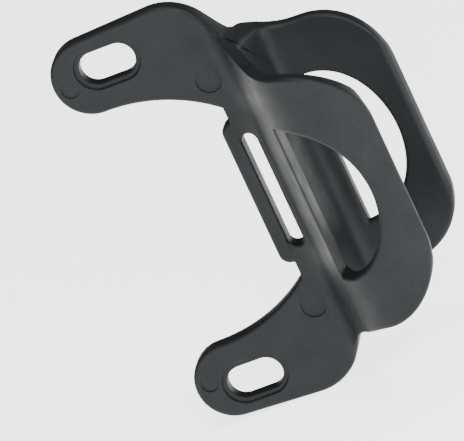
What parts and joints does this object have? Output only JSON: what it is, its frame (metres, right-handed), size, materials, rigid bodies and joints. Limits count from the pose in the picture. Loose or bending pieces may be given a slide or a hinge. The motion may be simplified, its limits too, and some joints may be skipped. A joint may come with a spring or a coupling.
{
  "type": "bottle cage side bracket",
  "caption": "Flat black plastic bracket that bolts under a bicycle bottle cage by its slotted ears and holds a mini pump beside it in an open spring clip, with a slot for a strap.",
  "frame": {"origin": "midway between the two bolt slots, on the front face of the ears", "axes": "+Z along the frame tube, from the lower bolt slot to the upper; +X from the ears to the clip; +Y back towards the frame tube, so the front jaw stands towards -Y"},
  "size_m": [0.0563, 0.0322, 0.0772],
  "materials": {
    "black_nylon": "satin moulded glass-filled nylon"
  },
  "bodies": {
    "bracket": {"upper_ear": "black_nylon", "spine": "black_nylon", "lower_ear": "black_nylon"},
    "front_jaw": {"front_jaw": "black_nylon"},
    "rear_jaw": {"rear_jaw": "black_nylon"}
  },
  "joints": [
    {"name": "front_jaw_flex", "type": "hinge", "parent": "bracket", "child": "front_jaw", "pos_m": [0.02278, -0.00727, 0], "axis": [0, 0, -1], "range_deg": [0, 8], "stiffness_Nm_per_rad": 0.3},
    {"name": "rear_jaw_flex", "type": "hinge", "parent": "bracket", "child": "rear_jaw", "pos_m": [0.02218, 0.00544, 0], "axis": [0, 0, 1], "range_deg": [0, 6], "stiffness_Nm_per_rad": 0.3}
  ]
}
